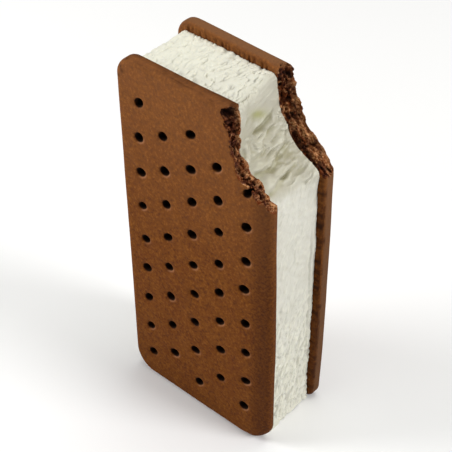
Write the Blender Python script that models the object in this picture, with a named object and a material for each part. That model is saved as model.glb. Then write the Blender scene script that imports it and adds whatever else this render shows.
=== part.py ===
"""Bitten ice cream sandwich: a slab of vanilla ice cream between two chocolate wafers.

It stands on one short end, +Z up. X runs across the wafers, Y through the sandwich
(front wafer at -Y, back wafer at +Y), and the origin is the bottom centre.
Lengths are in metres.
"""

import math

import bmesh
import bpy
from mathutils import Matrix, Vector

MM = 0.001

# Sandwich
LENGTH = 120.0 * MM
WIDTH = 54.4 * MM
THICKNESS = 28.7 * MM

# Wafers
WAFER_T = 4.2 * MM
RIM_ROLL = 2.4 * MM  # rounding of the outer face into the side
RIM_STEPS = 3
CORNER_STEPS = 7
# Corner sizes across X and along Z: bottom right, top right, top left, bottom left.
FRONT_CORNERS = ((11.0, 8.0), (7.0, 7.4), (6.8, 7.2), (7.5, 8.0))
BACK_CORNERS = ((7.2, 7.6), (7.0, 7.4), (6.0, 6.6), (7.5, 8.0))

# Docker holes: columns of nine and eight holes, each column half a pitch off the last
HOLE_COLUMNS = 5
HOLES_IN_LONG_COLUMN = 9
HOLE_PITCH_X = 9.70 * MM
HOLE_PITCH_Z = 11.95 * MM
HOLE_MOUTH_R = 1.30 * MM
HOLE_FOOT_R = 0.75 * MM
HOLE_DEPTH = 3.1 * MM
HOLE_SIDES = 8
# The front wafer's columns were docked a little unevenly: lift and stretch of each one
FRONT_LIFT = (0.45, -0.45, -0.45, -0.05, 0.35)
FRONT_STRETCH = (1.012, 1.004, 0.988, 0.968, 0.998)
BACK_LIFT = (0.1, 0.3, -0.2, 0.2, -0.3)
BACK_STRETCH = (1.0, 0.99, 1.005, 1.0, 0.99)

# Ice cream, set back from the wafers' edges
ICE_GAP = 0.3 * MM  # clearance to each wafer
ICE_SIDE_INSET = 2.8 * MM
ICE_TOP_INSET = 3.0 * MM
ICE_FOOT_INSET = 0.7 * MM
ICE_CORNER_R = 1.6 * MM
ICE_EDGE_R = 0.6 * MM

# Bite: scoops left by the teeth round one centre, beyond the sandwich's top right corner
BITE_CENTRE = (36.0, 116.0)  # x, z in mm
# Each tooth: first angle, last angle, depth in mm, place of the deepest point.
# Angles are measured at the centre from -X, downwards.
FRONT_TEETH = ((-16, 18, 1.2, 0.45), (18, 53, 2.3, 0.72), (53, 82, 0.9, 0.5))
BACK_TEETH = ((-22, 27, 1.6, 0.35), (27, 52, 1.2, 0.6), (52, 84, 2.6, 0.6))
ICE_TEETH = ((-24, 4, 1.0, 0.5), (4, 30, 1.7, 0.7), (30, 55, 1.9, 0.5), (55, 84, 1.5, 0.6))
FRONT_BITE_R = 22.9
BACK_BITE_R = 23.6
ICE_BITE_R = 25.6
BITE_STEP_DEG = 2.6
ICE_HOLLOW = 0.9  # how much deeper the bite is half way through the ice cream, in mm
ICE_SOFT_EDGE = 4.5  # height over which the ice cream rolls over into the bite, in mm


def clear_scene():
    for obj in list(bpy.data.objects):
        bpy.data.objects.remove(obj, do_unlink=True)


def new_collection(name):
    made = bpy.data.collections.new(name)
    bpy.context.scene.collection.children.link(made)
    return made


def new_material(name, colour, roughness):
    made = bpy.data.materials.new(name)
    made.use_nodes = True
    shader = made.node_tree.nodes["Principled BSDF"]
    shader.inputs["Base Color"].default_value = (*colour, 1.0)
    shader.inputs["Roughness"].default_value = roughness
    shader.inputs["Metallic"].default_value = 0.0
    made.diffuse_color = (*colour, 1.0)
    return made


def rounded_outline(corners):
    """Outline of a wafer in x and z: a rectangle with an elliptical arc at each corner."""
    half = WIDTH / 2
    signs = ((1, 0), (1, 1), (-1, 1), (-1, 0))
    starts = (-90, 0, 90, 180)
    found = []
    for (side, top), start, (rx, rz) in zip(signs, starts, corners):
        cx = side * (half - rx * MM)
        cz = LENGTH - rz * MM if top else rz * MM
        for i in range(CORNER_STEPS + 1):
            a = math.radians(start + 90 * i / CORNER_STEPS)
            found.append((cx + rx * MM * math.cos(a), cz + rz * MM * math.sin(a)))
    return found


def bite_radius(angle, teeth, base):
    """Distance in mm from the bite's centre to the bitten edge, at an angle in degrees."""
    for first, last, depth, deepest in teeth:
        if first <= angle <= last:
            t = (angle - first) / (last - first)
            t = 0.5 * t / deepest if t < deepest else 1 - 0.5 * (1 - t) / (1 - deepest)
            return base + depth * math.sin(math.pi * t) ** 0.8
    return base


def bite_outline(teeth, base):
    """The bitten edge from above the top to past the right side, in x and z, in mm."""
    cx, cz = BITE_CENTRE
    angle, found = teeth[0][0], []
    while angle <= teeth[-1][1]:
        r = bite_radius(angle, teeth, base)
        a = math.radians(angle)
        found.append((cx - r * math.cos(a), cz - r * math.sin(a)))
        angle += BITE_STEP_DEG
    return found


def plate(name, outline, depth, y, collection):
    """A closed mesh from a flat outline in x and z, extruded to a thickness of depth about y."""
    curve = bpy.data.curves.new(name + "_outline", "CURVE")
    curve.dimensions = "2D"
    curve.fill_mode = "BOTH"
    curve.extrude = depth / 2
    spline = curve.splines.new("POLY")
    spline.points.add(len(outline) - 1)
    for point, (x, z) in zip(spline.points, outline):
        point.co = (x, z, 0.0, 1.0)
    spline.use_cyclic_u = True
    shape = bpy.data.objects.new(name + "_outline", curve)
    collection.objects.link(shape)
    shape.rotation_euler = (math.radians(90), 0, 0)
    shape.location = (0, y, 0)
    bpy.context.view_layer.update()
    graph = bpy.context.evaluated_depsgraph_get()
    mesh = bpy.data.meshes.new_from_object(shape.evaluated_get(graph))
    mesh.transform(shape.matrix_world)
    bpy.data.objects.remove(shape)
    bm = bmesh.new()
    bm.from_mesh(mesh)
    bmesh.ops.remove_doubles(bm, verts=bm.verts, dist=1e-6)
    bmesh.ops.recalc_face_normals(bm, faces=bm.faces)
    bm.to_mesh(mesh)
    bm.free()
    mesh.name = name
    made = bpy.data.objects.new(name, mesh)
    collection.objects.link(made)
    return made


def roll_rim(obj, y_outer):
    """Rounds the edges that lie in the outer face."""
    bm = bmesh.new()
    bm.from_mesh(obj.data)
    # Each flat face is one polygon first, so that nothing inside it holds the rounding back.
    bmesh.ops.dissolve_limit(
        bm, angle_limit=math.radians(0.5), verts=bm.verts[:], edges=bm.edges[:]
    )
    rim = [
        e
        for e in bm.edges
        if all(abs(v.co.y - y_outer) < 1e-6 for v in e.verts)
        and any(abs(f.normal.y) < 0.5 for f in e.link_faces)
    ]
    bmesh.ops.bevel(
        bm,
        geom=rim,
        offset=RIM_ROLL,
        segments=RIM_STEPS,
        profile=0.5,
        affect="EDGES",
        clamp_overlap=False,
    )
    bmesh.ops.remove_doubles(bm, verts=bm.verts, dist=2e-6)
    bmesh.ops.recalc_face_normals(bm, faces=bm.faces)
    bm.to_mesh(obj.data)
    bm.free()


def cut(obj, cutter):
    modifier = obj.modifiers.new("cut_" + cutter.name, "BOOLEAN")
    modifier.operation = "DIFFERENCE"
    modifier.solver = "EXACT"
    modifier.object = cutter


def make_cutter(obj):
    obj.hide_render = True
    obj.display_type = "WIRE"
    return obj


def hole_places(lift, stretch):
    """Centres of the docker holes in x and z, a quincunx of nine and eight to a column."""
    middle = (HOLES_IN_LONG_COLUMN - 1) / 2
    for column in range(HOLE_COLUMNS):
        short = column % 2
        for row in range(HOLES_IN_LONG_COLUMN - short):
            x = (column - (HOLE_COLUMNS - 1) / 2) * HOLE_PITCH_X
            step = (middle - row - 0.5 * short) * stretch[column]
            yield x, LENGTH / 2 + step * HOLE_PITCH_Z + lift[column] * MM


def hole_cutter(name, places, y_outer, inward, teeth, base, collection):
    """One mesh of tapered pegs, pushed in from the outer face, wherever the bite left the wafer."""
    bm = bmesh.new()
    proud = 0.6 * MM
    tall = HOLE_DEPTH + proud
    # The peg goes on widening over the length that stands proud of the face.
    mouth = HOLE_MOUTH_R + (HOLE_MOUTH_R - HOLE_FOOT_R) * proud / HOLE_DEPTH
    for x, z in places:
        dx, dz = BITE_CENTRE[0] - x / MM, BITE_CENTRE[1] - z / MM
        reach = math.hypot(dx, dz)
        edge = bite_radius(math.degrees(math.atan2(dz, dx)), teeth, base)
        if reach < edge - 0.4:
            continue
        turn = Matrix.Rotation(math.radians(-90 * inward), 4, "X")
        middle = Vector((x, y_outer + inward * (tall / 2 - proud), z))
        bmesh.ops.create_cone(
            bm,
            cap_ends=True,
            segments=HOLE_SIDES,
            radius1=mouth,
            radius2=HOLE_FOOT_R,
            depth=tall,
            matrix=Matrix.Translation(middle) @ turn,
        )
    bmesh.ops.recalc_face_normals(bm, faces=bm.faces)
    mesh = bpy.data.meshes.new(name)
    bm.to_mesh(mesh)
    bm.free()
    made = bpy.data.objects.new(name, mesh)
    collection.objects.link(made)
    return make_cutter(made)


def smooth(obj, angle):
    obj.data.shade_smooth()
    obj.data.set_sharp_from_angle(angle=math.radians(angle))


def bite_cutter(name, teeth, base, collection, thick):
    outline = [(x * MM, z * MM) for x, z in bite_outline(teeth, base)]
    outline += [(60 * MM, 96 * MM), (60 * MM, 150 * MM), (10 * MM, 150 * MM)]
    return make_cutter(plate(name, outline, thick, 0.0, collection))


def make_wafer(name, side, corners, teeth, base, lift, stretch, material, parts, cutters):
    """side is -1 for the front wafer and +1 for the back one."""
    y_outer = side * THICKNESS / 2
    y_middle = side * (THICKNESS - WAFER_T) / 2
    wafer = plate(name, rounded_outline(corners), WAFER_T, y_middle, parts)
    roll_rim(wafer, y_outer)
    cut(wafer, bite_cutter(name + "_bite", teeth, base, cutters, 2 * THICKNESS))
    pegs = hole_cutter(
        name + "_docker", hole_places(lift, stretch), y_outer, -side, teeth, base, cutters
    )
    cut(wafer, pegs)
    wafer.data.materials.append(material)
    smooth(wafer, 40)
    return wafer


def soften(x, z):
    """The ice cream's bitten outline in mm: it rolls over at the top and swells at the side."""
    top = (LENGTH - ICE_TOP_INSET) / MM
    side = (WIDTH / 2 - ICE_SIDE_INSET) / MM
    up = max(0.0, (z - (top - ICE_SOFT_EDGE)) / ICE_SOFT_EDGE)
    out = max(0.0, (x - (side - 2.5)) / 2.5)
    return x - 2.6 * up**2, z - 1.6 * out**2


def ice_bite_cutter(collection):
    """Like bite_cutter, with the tooth marks running through and the middle scooped deeper."""
    outline = [soften(x, z) for x, z in bite_outline(ICE_TEETH, ICE_BITE_R)]
    last = outline[-1]
    outline = [(x * MM, z * MM) for x, z in outline]
    outline += [(60 * MM, last[1] * MM), (60 * MM, 150 * MM), (outline[0][0], 150 * MM)]
    cutter = plate("ice_cream_bite", outline, THICKNESS, 0.0, collection)
    bm = bmesh.new()
    bm.from_mesh(cutter.data)
    half = THICKNESS / 2 - WAFER_T
    for i in range(-3, 4):
        bmesh.ops.bisect_plane(
            bm,
            geom=bm.verts[:] + bm.edges[:] + bm.faces[:],
            plane_co=(0, half * i / 3.2, 0),
            plane_no=(0, 1, 0),
        )
    centre = Vector((BITE_CENTRE[0] * MM, 0, BITE_CENTRE[1] * MM))
    for v in bm.verts:
        away = Vector((v.co.x - centre.x, 0, v.co.z - centre.z))
        if v.co.x > 40 * MM or v.co.z > 140 * MM:
            continue
        across = max(0.0, 1 - (v.co.y / half) ** 2)
        v.co += away.normalized() * ICE_HOLLOW * MM * across
    bmesh.ops.recalc_face_normals(bm, faces=bm.faces)
    bm.to_mesh(cutter.data)
    bm.free()
    return make_cutter(cutter)


def make_ice_cream(material, parts, cutters):
    across = WIDTH - 2 * ICE_SIDE_INSET
    through = THICKNESS - 2 * WAFER_T - 2 * ICE_GAP
    tall = LENGTH - ICE_TOP_INSET - ICE_FOOT_INSET
    bpy.ops.mesh.primitive_cube_add(size=1.0)
    ice = bpy.context.active_object
    ice.name = "ice_cream"
    ice.data.name = "ice_cream"
    for linked in list(ice.users_collection):
        linked.objects.unlink(ice)
    parts.objects.link(ice)
    ice.data.transform(Matrix.Diagonal((across, through, tall, 1.0)))
    ice.location = (0, 0, ICE_FOOT_INSET + tall / 2)
    bm = bmesh.new()
    bm.from_mesh(ice.data)
    corners = [
        e
        for e in bm.edges
        if abs(e.verts[0].co.y - e.verts[1].co.y) > 0.5 * through
    ]
    bmesh.ops.bevel(
        bm, geom=corners, offset=ICE_CORNER_R, segments=3, profile=0.5, affect="EDGES"
    )
    edges = [e for e in bm.edges if e.calc_face_angle(0.0) > math.radians(60)]
    bmesh.ops.bevel(
        bm, geom=edges, offset=ICE_EDGE_R, segments=2, profile=0.5, affect="EDGES"
    )
    bmesh.ops.recalc_face_normals(bm, faces=bm.faces)
    bm.to_mesh(ice.data)
    bm.free()
    cut(ice, ice_bite_cutter(cutters))
    ice.data.materials.append(material)
    smooth(ice, 35)
    return ice


def main():
    clear_scene()
    parts = new_collection("ice_cream_sandwich")
    cutters = new_collection("cutters")
    wafer = new_material("chocolate_wafer", (0.165, 0.062, 0.019), 0.68)
    vanilla = new_material("vanilla_ice_cream", (0.83, 0.80, 0.66), 0.42)
    make_wafer(
        "front_wafer", -1, FRONT_CORNERS, FRONT_TEETH, FRONT_BITE_R,
        FRONT_LIFT, FRONT_STRETCH, wafer, parts, cutters,
    )
    make_wafer(
        "back_wafer", 1, BACK_CORNERS, BACK_TEETH, BACK_BITE_R,
        BACK_LIFT, BACK_STRETCH, wafer, parts, cutters,
    )
    make_ice_cream(vanilla, parts, cutters)


main()
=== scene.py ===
"""Looks of the bitten ice cream sandwich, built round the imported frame.

The two wafers and the ice cream are each made as a distance field in numpy, in mm,
and turned into a mesh, so that pores, crumbs, docker holes and tooth marks are real geometry.
"""

import math

import bpy
import numpy as np
from mathutils import Matrix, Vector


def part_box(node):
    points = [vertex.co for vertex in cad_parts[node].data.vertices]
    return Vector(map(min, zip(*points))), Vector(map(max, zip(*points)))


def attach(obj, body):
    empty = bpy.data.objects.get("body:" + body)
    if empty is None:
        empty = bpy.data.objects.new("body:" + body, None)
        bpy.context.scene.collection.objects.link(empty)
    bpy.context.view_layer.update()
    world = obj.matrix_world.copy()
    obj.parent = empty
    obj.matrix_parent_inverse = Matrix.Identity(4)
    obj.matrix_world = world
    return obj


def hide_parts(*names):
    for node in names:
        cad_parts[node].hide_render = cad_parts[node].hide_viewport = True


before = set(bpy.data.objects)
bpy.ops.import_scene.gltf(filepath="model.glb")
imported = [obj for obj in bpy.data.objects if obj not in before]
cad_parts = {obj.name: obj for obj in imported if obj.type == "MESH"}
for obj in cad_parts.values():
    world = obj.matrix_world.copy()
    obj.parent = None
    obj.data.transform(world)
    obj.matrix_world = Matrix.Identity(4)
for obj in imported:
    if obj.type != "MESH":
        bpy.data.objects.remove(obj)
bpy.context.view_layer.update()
MM = 0.001
F4 = np.float32

# ---------------------------------------------------------------- camera
# Lens axis at the middle of the picture; right, up and backward directions of the camera.
CAM_POS = (0.18315, -0.20500, 0.30387)
CAM_RIGHT = (0.74986924, 0.66154222, -0.00761643)
CAM_UP = (-0.42938811, 0.49541236, 0.75511088)
CAM_BACK = (0.503311, -0.56296402, 0.65555285)


def make_camera():
    data = bpy.data.cameras.new("camera")
    data.lens = 100.0
    data.sensor_width = 36.0
    data.clip_start = 0.01
    data.clip_end = 20.0
    cam = bpy.data.objects.new("camera", data)
    bpy.context.scene.collection.objects.link(cam)
    m = Matrix.Identity(4)
    for i in range(3):
        m[i][0], m[i][1], m[i][2], m[i][3] = CAM_RIGHT[i], CAM_UP[i], CAM_BACK[i], CAM_POS[i]
    cam.matrix_world = m
    bpy.context.scene.camera = cam


make_camera()

# ---------------------------------------------------------------- sizes from the frame, in mm
front_lo, front_hi = [np.array(v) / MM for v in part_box("front_wafer")]
back_lo, back_hi = [np.array(v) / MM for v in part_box("back_wafer")]
ice_lo, ice_hi = [np.array(v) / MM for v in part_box("ice_cream")]
HALF_W = float(front_hi[0])
LENGTH = float(front_hi[2])
WAFER_T = float(front_hi[1] - front_lo[1])
HALF_T = float(-front_lo[1])
Y_IN = HALF_T - WAFER_T  # inner face of a wafer
ICE_X = float(ice_hi[0])
ICE_TOP = float(ice_hi[2])
ICE_FOOT = float(ice_lo[2])

BITE_X, BITE_Z = 36.0, 116.0  # the teeth went round this point

# ---------------------------------------------------------------- small maths


def smoothstep(a, b, x):
    t = np.clip((x - a) / (b - a), 0.0, 1.0)
    return t * t * (3 - 2 * t)


def smax(a, b, k):
    """Largest of two fields with the edge between them rounded over about k."""
    h = np.clip(0.5 + 0.5 * (a - b) / k, 0.0, 1.0)
    return b + (a - b) * h + k * h * (1.0 - h)


def smin(a, b, k):
    return -smax(-a, -b, k)


class Noise:
    """Smooth lattice noise from -1 to 1, always the same for one seed.

    With a plain number as its last coordinate it is flat noise, one pattern for each number.
    """

    N = 64

    def __init__(self, seed):
        rng = np.random.RandomState(seed)
        self.t = rng.uniform(-1, 1, self.N**3).astype(F4)

    def __call__(self, x, y, z):
        n = self.N
        parts = []
        for c in (x, y, z):
            i = np.floor(c)
            f = np.asarray(c - i, F4)
            parts.append((np.asarray(i, np.int32) % n, f * f * f * (f * (f * 6 - 15) + 10)))
        (ix, u), (iy, v), (iz, w) = parts
        jx, jy = (ix + 1) % n, (iy + 1) % n
        if np.ndim(z) == 0:
            t = self.t.reshape(n, n, n)[int(iz)].ravel()
            row = lambda a, b: t[a * n + b]
        else:
            t = self.t
            jz = (iz + 1) % n

            def row(a, b):
                base = (a * n + b) * n
                return t[base + iz] * (1 - w) + t[base + jz] * w

        low = row(ix, iy) * (1 - v) + row(ix, jy) * v
        high = row(jx, iy) * (1 - v) + row(jx, jy) * v
        return low * (1 - u) + high * u


class Cells:
    """Lumps: space split round scattered points, each lump standing at its own height."""

    N = 32

    def __init__(self, seed):
        rng = np.random.RandomState(seed)
        self.shift = rng.uniform(0.08, 0.92, (3, self.N**3)).astype(F4)
        self.height = rng.uniform(-1, 1, self.N**3).astype(F4)

    def __call__(self, x, y, z, sharp=12.0):
        """Height of the lump at a point, and how far the point is from the crease round it."""
        n = self.N
        ix, iy, iz = (np.floor(c).astype(np.int64) for c in (x, y, z))
        first = np.full(np.shape(x), 9.0)
        second = first.copy()
        total, weight = 0.0, 1e-9
        for a in (-1, 0, 1):
            for b in (-1, 0, 1):
                for c in (-1, 0, 1):
                    jx, jy, jz = ix + a, iy + b, iz + c
                    k = ((jx % n) * n + jy % n) * n + jz % n
                    d = (
                        (x - jx - self.shift[0][k]) ** 2
                        + (y - jy - self.shift[1][k]) ** 2
                        + (z - jz - self.shift[2][k]) ** 2
                    )
                    w = np.exp(-sharp * d)
                    total = total + w * self.height[k]
                    weight = weight + w
                    second = np.minimum(second, np.maximum(first, d))
                    first = np.minimum(first, d)
        return total / weight, np.sqrt(second) - np.sqrt(first)


def axis(*spans):
    """Grid coordinates: spans of (start, end, step) joined up."""
    found = []
    for a, b, step in spans:
        n = max(1, int(round((b - a) / step)))
        found.append(np.linspace(a, b, n, endpoint=False))
    found.append(np.array([spans[-1][1]]))
    return np.concatenate(found).astype(F4)


# ---------------------------------------------------------------- field to mesh


def surface_net(f, xs, ys, zs):
    """Vertices and quads of the surface where the field changes sign (negative is inside)."""
    c = f < 0
    n = np.zeros(tuple(s - 1 for s in f.shape), np.uint8)
    for a in (0, 1):
        for b in (0, 1):
            for d in (0, 1):
                n += c[
                    a : a + n.shape[0], b : b + n.shape[1], d : d + n.shape[2]
                ].astype(np.uint8)
    active = (n > 0) & (n < 8)
    number = np.full(active.shape, -1, np.int32)
    i, j, k = np.nonzero(active)
    number[i, j, k] = np.arange(len(i), dtype=np.int32)
    lo = np.stack([xs[i], ys[j], zs[k]], 1).astype(np.float64)
    size = np.stack([xs[i + 1] - xs[i], ys[j + 1] - ys[j], zs[k + 1] - zs[k]], 1)
    total = np.zeros((len(i), 3))
    count = np.zeros(len(i))
    for ax in range(3):
        o1, o2 = [q for q in range(3) if q != ax]
        for p in (0, 1):
            for q in (0, 1):
                a = [0, 0, 0]
                a[o1], a[o2] = p, q
                b = list(a)
                b[ax] = 1
                v0 = f[i + a[0], j + a[1], k + a[2]].astype(np.float64)
                v1 = f[i + b[0], j + b[1], k + b[2]].astype(np.float64)
                hit = (v0 < 0) != (v1 < 0)
                t = np.where(hit, v0 / np.where(hit, v0 - v1, 1.0), 0.0)
                pos = np.zeros((len(i), 3))
                pos[:, o1], pos[:, o2], pos[:, ax] = p, q, t
                total += pos * hit[:, None]
                count += hit
    verts = lo + size * total / count[:, None]
    quads = []
    inner = slice(1, -1)
    for ax, (e1, e2) in ((0, (1, 2)), (1, (2, 0)), (2, (0, 1))):
        sl0 = [inner, inner, inner]
        sl1 = [inner, inner, inner]
        sl0[ax], sl1[ax] = slice(0, -1), slice(1, None)
        here, there = c[tuple(sl0)], c[tuple(sl1)]
        g = np.stack(np.nonzero(here != there), 1)
        off = np.ones(3, int)
        off[ax] = 0
        g = g + off
        corner = []
        for d1, d2 in ((-1, -1), (0, -1), (0, 0), (-1, 0)):
            h = g.copy()
            h[:, e1] += d1
            h[:, e2] += d2
            corner.append(number[h[:, 0], h[:, 1], h[:, 2]])
        quad = np.stack(corner, 1)
        out = here[tuple((g - off).T)]
        quad[~out] = quad[~out][:, ::-1]
        quads.append(quad)
    return verts, np.concatenate(quads)


def largest_part(verts, quads, keep_over=None):
    """Drops loose specks: keeps the biggest connected piece."""
    label = np.arange(len(verts))
    edges = np.concatenate([quads[:, [0, 1]], quads[:, [1, 2]], quads[:, [2, 3]]])
    while True:
        low = np.minimum(label[edges[:, 0]], label[edges[:, 1]])
        new = label.copy()
        np.minimum.at(new, edges[:, 0], low)
        np.minimum.at(new, edges[:, 1], low)
        new = new[new]
        new = new[new]
        if np.array_equal(new, label):
            break
        label = new
    names, counts = np.unique(label, return_counts=True)
    main = names[counts.argmax()]
    keep = label == main
    quads = quads[keep[quads[:, 0]]]
    order = np.cumsum(keep) - 1
    return verts[keep], order[quads]


def mesh_object(name, verts_mm, quads):
    mesh = bpy.data.meshes.new(name)
    mesh.vertices.add(len(verts_mm))
    mesh.vertices.foreach_set("co", (verts_mm * MM).astype(F4).ravel())
    mesh.loops.add(quads.size)
    mesh.loops.foreach_set("vertex_index", quads.astype(np.int32).ravel())
    mesh.polygons.add(len(quads))
    mesh.polygons.foreach_set("loop_start", np.arange(0, quads.size, 4, dtype=np.int32))
    mesh.update(calc_edges=True)
    mesh.validate()
    obj = bpy.data.objects.new(name, mesh)
    bpy.context.scene.collection.objects.link(obj)
    return obj


def decimate(obj, limit, freely):
    """Brings the piece under a number of triangles, only where "freely" (0 to 1 a vertex) allows."""
    mesh = obj.data
    group = obj.vertex_groups.new(name="freely")
    levels = np.round(np.clip(freely, 0, 1) * 4).astype(int)
    for level in range(1, 5):
        group.add(np.nonzero(levels == level)[0].tolist(), level / 4.0, "REPLACE")
    tris = sum(len(p.vertices) - 2 for p in mesh.polygons) if len(mesh.polygons) < 1000 else 2 * len(mesh.polygons)
    if tris > limit:
        m = obj.modifiers.new("decimate", "DECIMATE")
        m.ratio = limit / tris
        m.use_collapse_triangulate = True
        m.vertex_group = "freely"
        m.vertex_group_factor = 0.0
        graph = bpy.context.evaluated_depsgraph_get()
        new = bpy.data.meshes.new_from_object(obj.evaluated_get(graph))
        obj.modifiers.clear()
        obj.vertex_groups.clear()
        obj.data = new
        bpy.data.meshes.remove(mesh)
        new.name = obj.name
    obj.data.shade_smooth()
    return obj


def vertex_mm(obj):
    co = np.empty(len(obj.data.vertices) * 3, F4)
    obj.data.vertices.foreach_get("co", co)
    return co.reshape(-1, 3).astype(np.float64) / MM


def set_attribute(obj, name, values):
    att = obj.data.attributes.new(name, "FLOAT", "POINT")
    att.data.foreach_set("value", np.clip(values, 0, 1).astype(F4))


# ---------------------------------------------------------------- bite outlines
# Where the bitten edges run, x and z in mm, from the top down to the side.
FRONT_OUTER = ((13.0, 121.3), (12.1, 119.4), (11.9, 117.8), (12.6, 116.0), (12.5, 114.5), (13.4, 113.4), (14.0, 111.8), (14.3, 108.5), (14.7, 106.4), (15.8, 105.2), (16.1, 103.4), (16.4, 101.4), (17.4, 100.2), (18.2, 99.3), (19.8, 98.9), (21.4, 98.8), (22.2, 97.0), (23.2, 95.5), (25.2, 95.4), (26.6, 94.7), (28.4, 93.6))
FRONT_INNER = ((13.4, 121.0), (13.8, 117.7), (14.1, 116.1), (14.1, 112.3), (13.8, 110.9), (14.1, 109.1), (14.3, 105.3), (14.9, 104.2), (16.1, 103.5), (16.8, 102.4), (17.5, 100.4), (18.5, 99.6), (20.2, 99.2), (21.5, 99.0), (22.3, 98.0), (22.9, 96.5), (24.4, 95.3), (26.4, 94.4), (27.4, 92.6))
BACK_INNER = ((9.2, 120.5), (9.4, 116.0), (9.6, 113.6), (10.1, 110.6), (10.2, 108.3), (10.7, 106.0), (11.7, 104.4), (12.8, 103.5), (13.3, 101.9), (13.8, 100.6), (14.5, 99.1), (15.5, 98.1), (16.9, 96.6), (18.0, 95.8), (19.8, 94.9), (21.0, 94.1), (22.5, 93.6), (23.7, 92.6), (24.9, 91.3), (27.3, 90.6))
BACK_OUTER = ((8.6, 120.6), (10.1, 119.4), (11.4, 118.1), (11.8, 116.4), (12.3, 115.2), (12.2, 112.6), (12.7, 109.9), (13.9, 108.4), (14.8, 106.7), (15.4, 104.7), (16.2, 102.4), (17.3, 100.8), (18.8, 100.1), (19.3, 99.0), (20.8, 98.1), (21.6, 97.0), (22.7, 96.2), (23.5, 94.9), (24.6, 94.0), (25.6, 93.1), (26.8, 91.6), (28.0, 89.5))


def polar(points):
    p = np.array(points)
    dx, dz = BITE_X - p[:, 0], BITE_Z - p[:, 1]
    angle, r = np.degrees(np.arctan2(dz, dx)), np.hypot(dx, dz)
    order = np.argsort(angle)
    return angle[order], r[order]


def radius_of(points, blur=1.2):
    """Radius of a bitten edge against angle, on an even table, slightly softened."""
    angle, r = polar(points)
    even = np.arange(-40.0, 120.0, 0.5)
    table = np.interp(even, angle, r)
    taps = np.exp(-0.5 * (np.arange(-8, 9) * 0.5 / blur) ** 2)
    taps /= taps.sum()
    padded = np.concatenate([np.full(8, table[0]), table, np.full(8, table[-1])])
    table = np.convolve(padded, taps, "valid")
    return lambda a: np.interp(a, even, table)


R_FRONT_OUTER, R_FRONT_INNER = radius_of(FRONT_OUTER, 0.8), radius_of(FRONT_INNER, 1.0)
R_BACK_INNER, R_BACK_OUTER = radius_of(BACK_INNER, 1.0), radius_of(BACK_OUTER, 0.8)
R_ICE_FRONT, R_ICE_BACK = radius_of(FRONT_INNER, 2.0), radius_of(BACK_INNER, 2.0)


def bite_polar(x, z):
    dx, dz = BITE_X - x, BITE_Z - z
    return np.degrees(np.arctan2(dz, dx)), np.hypot(dx, dz)


# ---------------------------------------------------------------- wafers
LUMP = 1.35  # size of the crumb's lumps
MM_PER_DEGREE = math.radians(24.5)  # along the bite's edge
FRONT_CORNERS = ((10.4, 7.8), (7.0, 7.4), (6.8, 7.2), (7.5, 8.0))
BACK_CORNERS = ((3.6, 4.6), (7.0, 7.4), (5.6, 6.2), (7.5, 8.0))

# Docker holes of the front wafer, column by column from the top: x, then the z of each
FRONT_HOLES = (
    ((-18.5, 108.2), (-19.2, 96.3), (-19.3, 84.0), (-19.5, 71.6), (-19.1, 59.0), (-19.3, 47.4), (-19.4, 35.0), (-19.2, 22.8), (-18.9, 11.2)),
    ((-10.0, 101.1), (-9.9, 89.2), (-9.9, 77.2), (-9.9, 65.0), (-9.9, 53.4), (-9.9, 41.3), (-9.8, 29.2), (-9.4, 17.1)),
    ((0.4, 106.8), (0.1, 95.0), (0.1, 83.6), (-0.3, 71.5), (-0.1, 60.0), (0.0, 48.5), (-0.3, 36.7), (-0.3, 24.6), (0.8, 11.1)),
    ((9.6, 100.6), (9.8, 89.4), (9.9, 78.3), (9.8, 66.4), (9.7, 55.1), (9.8, 43.7), (9.9, 31.8), (9.8, 19.5)),
    ((20.0, 97.3), (19.8, 85.6), (19.7, 73.2), (19.0, 62.3), (19.5, 49.1), (19.7, 37.3), (19.7, 25.1), (19.0, 13.6)),
)

# Marks in the torn edges: angle, depth below the outer face, its change per degree,
# reach along and across the edge, and how much is torn out (or stands proud, below 0)
FRONT_MARKS = (
    (-5.4, 1.9, 0.0, 1.35, 1.40, 2.1),
    (-8.2, 3.2, 0.0, 1.3, 1.0, -0.7),
    (-2.4, 3.8, 0.0, 2.6, 0.45, -0.35),
    (1.0, 0.6, 0.0, 0.7, 0.4, 0.5),
    (3.0, 2.1, 0.0, 0.7, 0.5, 0.6),
    (8.3, 0.8, 0.0, 0.6, 0.4, 0.5),
    (12.0, 2.4, 0.0, 0.8, 0.5, 0.4),
    (17.8, 1.1, 0.0, 0.9, 0.6, 0.9),
    (15.5, 3.8, 0.0, 1.2, 0.4, -0.3),
    (23.6, 2.8, 0.0, 1.1, 0.6, -0.3),
    (31.7, 3.9, 0.0, 1.0, 0.5, -0.5),
    (35.2, 1.2, 0.17, 1.7, 0.55, 1.1),
    (40.0, 2.7, 0.0, 0.9, 0.5, -0.35),
    (43.2, 3.3, 0.0, 0.9, 0.5, -0.4),
    (46.2, 0.7, 0.0, 0.8, 0.6, -0.5),
    (47.8, 2.0, 0.0, 0.8, 0.5, 0.35),
    (48.6, 3.9, 0.0, 1.0, 0.5, -0.4),
    (53.5, 2.2, 0.0, 0.7, 0.5, 0.5),
    (58.7, 3.7, 0.0, 1.0, 0.6, -0.4),
    (65.0, 3.2, 0.0, 1.2, 0.8, -0.4),
)
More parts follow.
